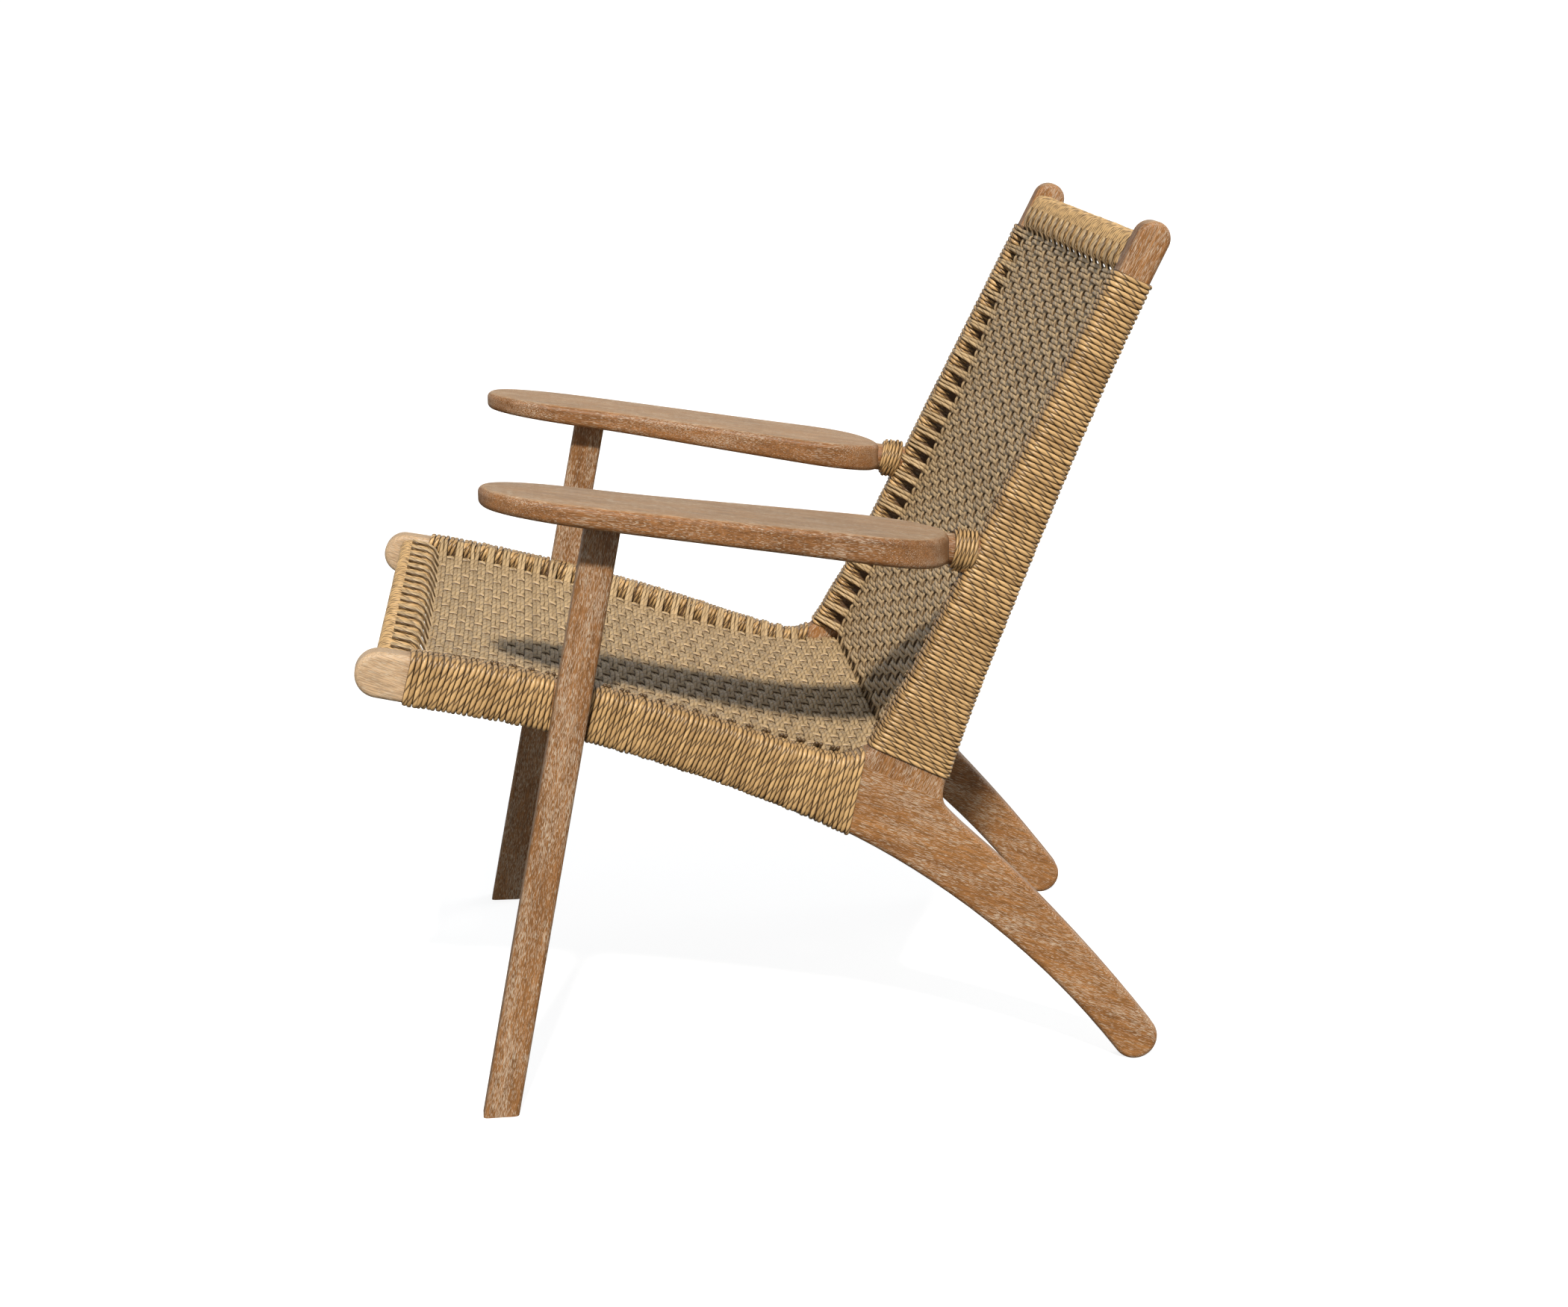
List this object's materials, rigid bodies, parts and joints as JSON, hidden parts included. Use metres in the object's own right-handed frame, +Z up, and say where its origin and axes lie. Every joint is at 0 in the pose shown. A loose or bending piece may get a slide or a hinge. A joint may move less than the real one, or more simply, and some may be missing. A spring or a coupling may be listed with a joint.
{
  "type": "armchair",
  "caption": "Low lounge armchair with a leaning wooden frame, paddle-shaped armrests and a seat and back woven from paper cord.",
  "frame": {"origin": "bottom centre of the whole chair's bounding box, on the floor", "axes": "+Z up, -Y is the way the chair faces, +X is the sitter's left side"},
  "size_m": [0.6912, 0.714, 0.7605],
  "materials": {
    "frame_wood": "satin",
    "arm_wood": "satin",
    "dowel_wood": "matte",
    "wound_cord": "matte",
    "woven_cord": "matte"
  },
  "bodies": {
    "root": {"arm_lashing_left": "wound_cord", "arm_lashing_right": "wound_cord", "armrest_left": "arm_wood", "armrest_right": "arm_wood", "back_lower_rail": "frame_wood", "back_lower_rail_dowels": "dowel_wood", "back_lower_rail_wrap": "wound_cord", "back_post_left": "frame_wood", "back_post_right": "frame_wood", "back_top_rail": "frame_wood", "back_top_rail_dowels": "dowel_wood", "back_top_rail_wrap": "wound_cord", "back_weave": "woven_cord", "front_leg_left": "frame_wood", "front_leg_right": "frame_wood", "front_seat_rail": "frame_wood", "front_seat_rail_dowels": "dowel_wood", "front_seat_rail_wrap": "wound_cord", "leg_dowels_left": "dowel_wood", "leg_dowels_right": "dowel_wood", "post_dowels_left": "dowel_wood", "post_dowels_right": "dowel_wood", "post_wrap_left": "wound_cord", "post_wrap_right": "wound_cord", "rail_wrap_front_left": "wound_cord", "rail_wrap_front_right": "wound_cord", "rail_wrap_rear_left": "wound_cord", "rail_wrap_rear_right": "wound_cord", "rear_seat_rail": "frame_wood", "rear_seat_rail_dowels": "dowel_wood", "rear_seat_rail_wrap": "wound_cord", "seat_weave": "woven_cord", "side_frame_left": "frame_wood", "side_frame_right": "frame_wood"}
  },
  "joints": []
}
